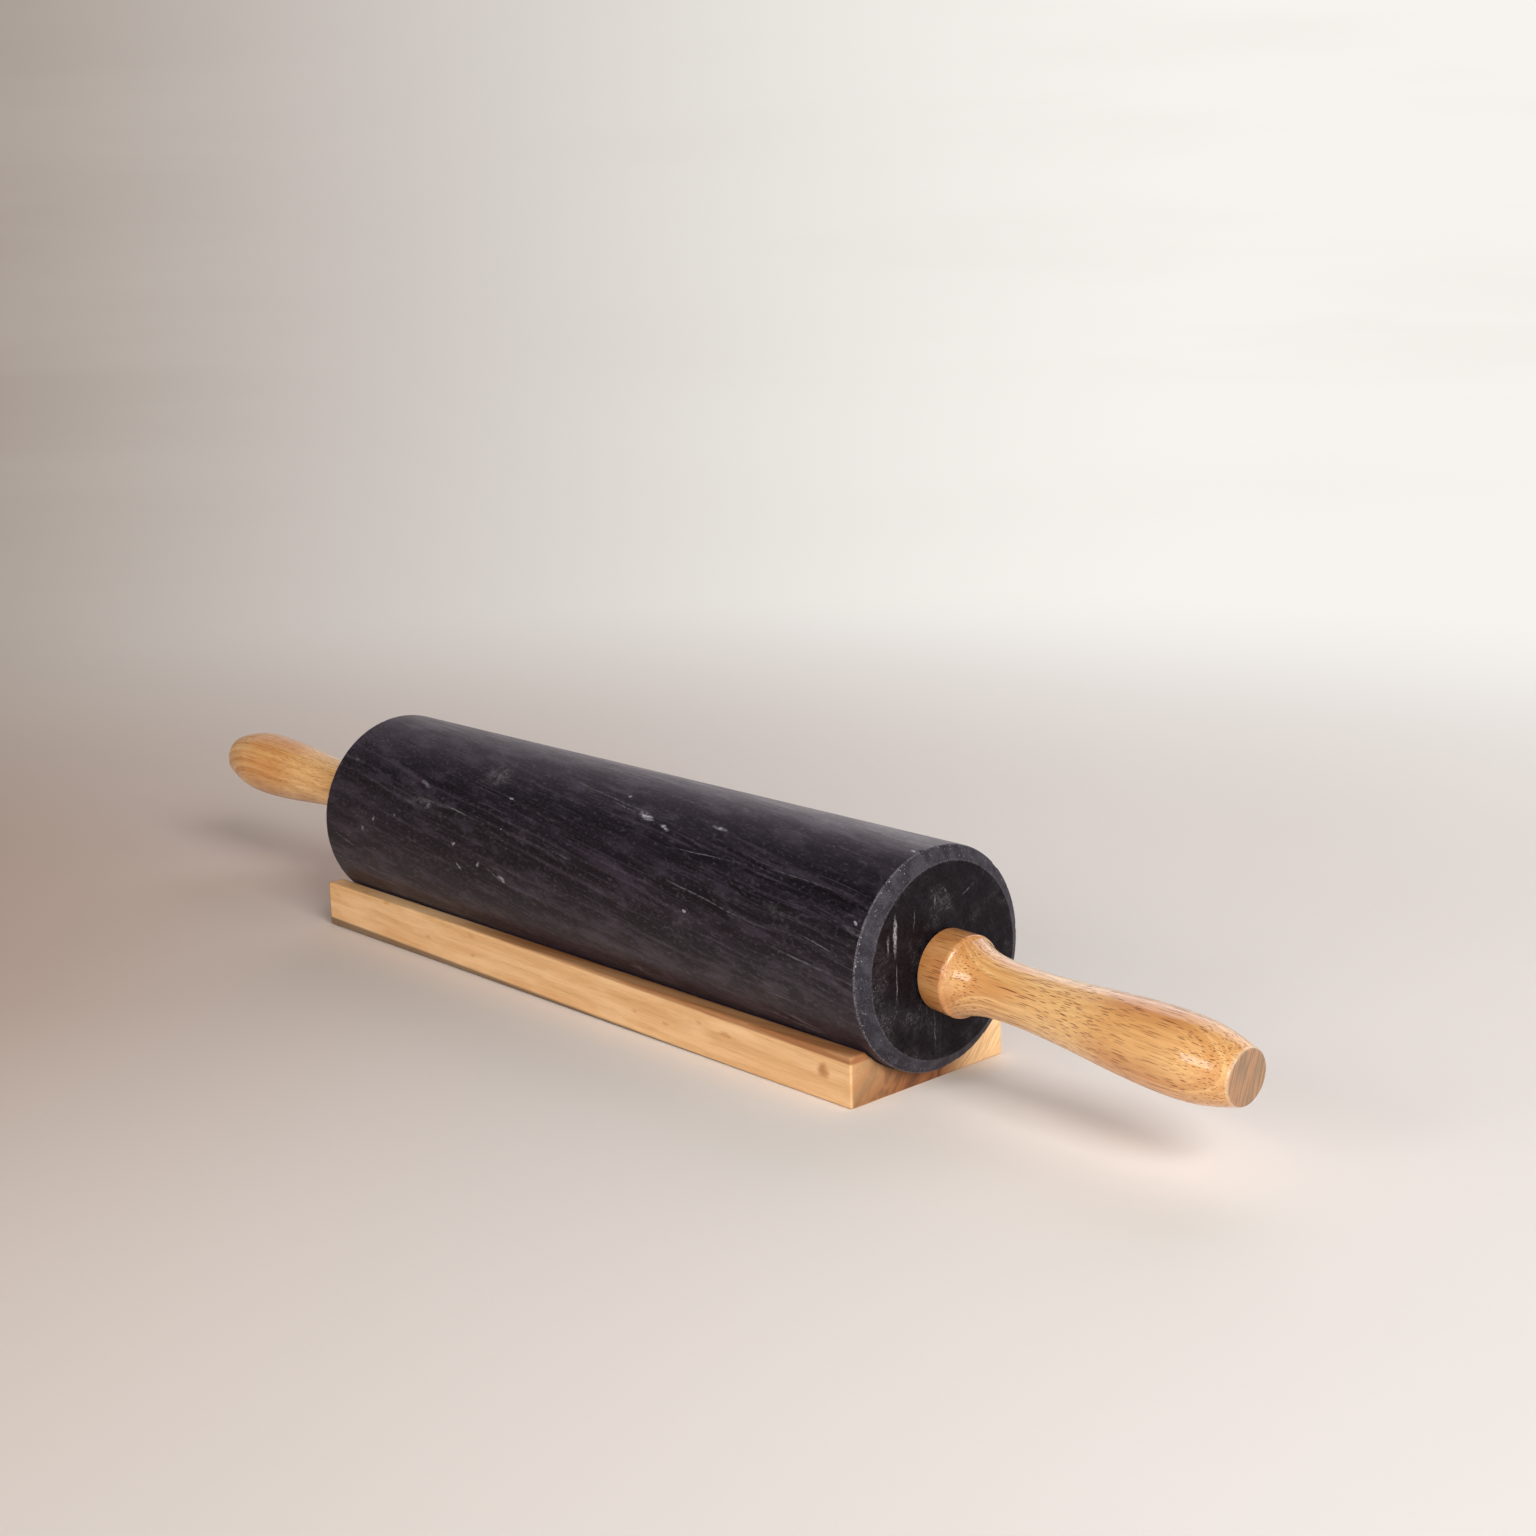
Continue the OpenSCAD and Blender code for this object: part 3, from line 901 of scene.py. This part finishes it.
def make_cradle():
    """One block of wood with a round trough and softened edges."""
    mesh = bmesh.new()
    half = CRADLE_WIDTH / 2
    trough_z = TROUGH_FLOOR + TROUGH_RADIUS
    drop = trough_z - CRADLE_HEIGHT
    lip = (TROUGH_RADIUS**2 - drop**2) ** 0.5
    start = CRADLE_X - CRADLE_LENGTH / 2
    first = mesh.verts.new((start, -lip, CRADLE_HEIGHT))
    arc = 2 * Vector((0, -1)).angle(Vector((-lip, -drop)))
    swept = bmesh.ops.spin(
        mesh,
        geom=[first],
        cent=(start, 0, trough_z),
        axis=(1, 0, 0),
        angle=arc,
        steps=TROUGH_STEPS,
        use_duplicate=False,
    )
    last = swept["geom_last"][0]
    corners = [(half, CRADLE_HEIGHT), (half, 0), (-half, 0), (-half, CRADLE_HEIGHT)]
    chain = [last] + [mesh.verts.new((start, y, z)) for y, z in corners] + [first]
    for pair in zip(chain, chain[1:]):
        mesh.edges.new(pair)
    bmesh.ops.contextual_create(mesh, geom=mesh.edges[:])
    made = bmesh.ops.extrude_face_region(mesh, geom=mesh.faces[:])["geom"]
    moved = [item for item in made if isinstance(item, bmesh.types.BMVert)]
    bmesh.ops.translate(mesh, verts=moved, vec=(CRADLE_LENGTH, 0, 0))
    bmesh.ops.recalc_face_normals(mesh, faces=mesh.faces)
    crisp = [edge for edge in mesh.edges if edge.calc_face_angle(0) > CRADLE_EDGE_ANGLE]
    bmesh.ops.bevel(
        mesh,
        geom=crisp,
        offset=CRADLE_EASE,
        offset_type="OFFSET",
        segments=CRADLE_EASE_SEGMENTS,
        profile=0.5,
        affect="EDGES",
        material=-1,
        clamp_overlap=True,
    )
    return mesh


def make_room():
    """A wide pale floor that curves up into a low wall all round the object."""
    mesh = bmesh.new()
    bend_start = ROOM_REACH - ROOM_CURVE
    points = [mesh.verts.new((out, 0, 0)) for out in (*FLOOR_RINGS, bend_start)]
    for pair in zip(points, points[1:]):
        mesh.edges.new(pair)
    bend = bmesh.ops.spin(
        mesh,
        geom=[points[-1]],
        cent=(bend_start, 0, ROOM_CURVE),
        axis=(0, -1, 0),
        angle=pi / 2,
        steps=BEND_STEPS,
    )
    top = [item for item in bend["geom_last"] if isinstance(item, bmesh.types.BMVert)]
    mesh.edges.new((top[0], mesh.verts.new((ROOM_REACH, 0, ROOM_HEIGHT))))
    spun(mesh, ROOM_STEPS, (0, 0, 1))
    bmesh.ops.reverse_faces(mesh, faces=mesh.faces)
    bmesh.ops.translate(mesh, verts=mesh.verts, vec=(0, 0, -FLOOR_GAP))
    data = bpy.data.meshes.new("room")
    mesh.to_mesh(data)
    mesh.free()
    data.shade_smooth()
    room = bpy.data.objects.new("room", data)
    bpy.context.scene.collection.objects.link(room)
    return room


def paper():
    """Pale paper, painted darker to the left as shade. Far off, what the camera sees of it glows
    evenly.
    """
    f = Finish("backdrop_paper")
    place = f.vector("SCALE", f.point, {"Scale": MM})
    away = f.vector("DOT_PRODUCT", place, {1: tuple(AWAY)}, "Value")
    side = f.vector("DOT_PRODUCT", place, {1: tuple(ACROSS)}, "Value")
    slant = side / (away.size() + VIEW_DISTANCE)
    mottle = f.cloud(f.laid(place, size=(0.4, 0.4, 0.4)), 3.0)
    weave = f.cloud(f.laid(place, size=(0.9, 0.9, 0.12)), 3.0)

    # The lit paper under the object, with painted shade to the left, deepest further back on the
    # left, and the glowing paper round it, also painted darker to the left
    # Painted shade: on the left the lit paper darkens further back, beside the object's left end
    left = f.mix(away.rise(-0.22, 0.06), paint(200, 182, 168), paint(181, 155, 136))
    near = f.mix(slant.rise(-0.40, 0.20), left, paint(248, 242, 235))
    near = f.mix(mottle.rise(0.4, 0.7) * 0.06, near, paint(205, 190, 180))
    far = f.mix(slant.rise(-0.46, 0.21), paint(144, 127, 116), paint(247, 244, 239))
    far = f.mix(weave.rise(0.4, 0.7) * 0.10, far, paint(212, 203, 196))

    # Both carry more painted shade far to the left, where the stone mirrors them
    painted_left_dimming = slant.rise(-0.45, -1.2)
    near = f.mix(painted_left_dimming, near, paint(178, 162, 150))
    far = f.mix(painted_left_dimming, far, paint(138, 124, 115))

    seen = f.node("ShaderNodeLightPath", {}, {}, "Is Camera Ray")
    rays = seen.socket.node.outputs
    for ray in ("Is Glossy Ray", "Is Transmission Ray"):
        seen = seen.most(Value(f, rays[ray]))
    lit = f.node("ShaderNodeBsdfPrincipled", {}, {"Base Color": near, "Roughness": 0.9}, "BSDF")
    glow = f.node("ShaderNodeEmission", {}, {"Color": far, "Strength": 1.0})
    share = f.length(place).rise(0.22, 0.72) * seen
    f.node_output(f.node("ShaderNodeMixShader", {}, [share, lit, glow]))
    return f.material


def place_camera():
    """Stands the camera where the photograph was taken from, tilted by its roll."""
    level = cos(VIEW_ELEVATION)
    back = Vector((sin(VIEW_AZIMUTH) * level, -cos(VIEW_AZIMUTH) * level, sin(VIEW_ELEVATION)))
    right = Vector((cos(VIEW_AZIMUTH), sin(VIEW_AZIMUTH), 0))
    up = back.cross(right)
    rolled_right = right * cos(VIEW_ROLL) + up * sin(VIEW_ROLL)
    rolled_up = up * cos(VIEW_ROLL) - right * sin(VIEW_ROLL)
    data = bpy.data.cameras.new("camera")
    data.lens = LENS
    data.sensor_width = SENSOR_WIDTH
    data.clip_start = CLIP_START
    data.clip_end = CLIP_END
    camera = bpy.data.objects.new("camera", data)
    centre = Vector((CRADLE_X, 0, 0))
    place = centre + right * VIEW_RIGHT + up * VIEW_UP + back * VIEW_DISTANCE
    turn = Matrix((rolled_right, rolled_up, back)).transposed()
    camera.matrix_world = Matrix.Translation(place) @ turn.to_4x4()
    bpy.context.scene.collection.objects.link(camera)
    bpy.context.scene.camera = camera


def add_light(name, place, size, power, tint):
    """Adds a square lamp that faces the middle of the object."""
    data = bpy.data.lights.new(name, "AREA")
    data.shape = "SQUARE"
    data.size = size
    data.energy = power
    data.color = tint
    light = bpy.data.objects.new(name, data)
    facing = place.to_track_quat("Z", "Y")
    light.matrix_world = Matrix.Translation(place) @ facing.to_matrix().to_4x4()
    bpy.context.scene.collection.objects.link(light)


def light_world(level):
    """Fills the shadows with a little even, slightly warm light."""
    world = bpy.data.worlds.new("world")
    bpy.context.scene.world = world
    world.use_nodes = True
    sky = world.node_tree.nodes["Background"]
    sky.inputs["Color"].default_value = WORLD_TINT
    sky.inputs["Strength"].default_value = level


# Camera, backdrop and lights
place_camera()
AWAY = Vector((-sin(VIEW_AZIMUTH), cos(VIEW_AZIMUTH), 0))
ACROSS = Vector((cos(VIEW_AZIMUTH), sin(VIEW_AZIMUTH), 0))
make_room().data.materials.append(paper())
light_world(WORLD_LEVEL)
for name, towards, distance, size, power, tint in LIGHTS:
    add_light(name, Vector(towards).normalized() * distance, size, power, tint)

# Pieces
barrel = add_piece(
    "stone_barrel",
    make_barrel(),
    stone("marble_side", shine_level=0.26, polish=0.20),
    "barrel",
    "marble",
    "marble_barrel",
)
barrel.data.materials.append(stone("marble_end", shine_level=0.09, polish=0.0))
for face in barrel.data.polygons:
    if abs(face.center.x) > FACE_X - CHAMFER_DEPTH:
        face.material_index = 1
for side, drop, lean in ((1, RIGHT_DROP, RIGHT_LEAN), (-1, LEFT_DROP, LEFT_LEAN)):
    word = "right" if side > 0 else "left"
    add_piece(
        f"turned_handle_{word}",
        make_handle(side, drop, lean),
        handle_wood(side, drop, lean),
        "handles",
        "handle_wood",
        f"handle_{word}",
    )
add_piece("wooden_cradle", make_cradle(), cradle_wood(), "cradle", "cradle_wood", "cradle")

# The parts inside the pin keep their own shapes
white_nylon = nylon()
steel = metal("steel", paint(196, 199, 204), paint(150, 152, 158))
brass = metal("brass", paint(214, 178, 96), paint(150, 116, 58))
inside = {
    "axle_rod": steel,
    "bushing_left": white_nylon,
    "bushing_right": white_nylon,
    "washer_left": white_nylon,
    "washer_right": white_nylon,
    "insert_left": brass,
    "insert_right": brass,
}
for node, material in inside.items():
    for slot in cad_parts[node].material_slots:
        slot.material = material

view = bpy.context.scene.view_settings
view.view_transform = "Standard"
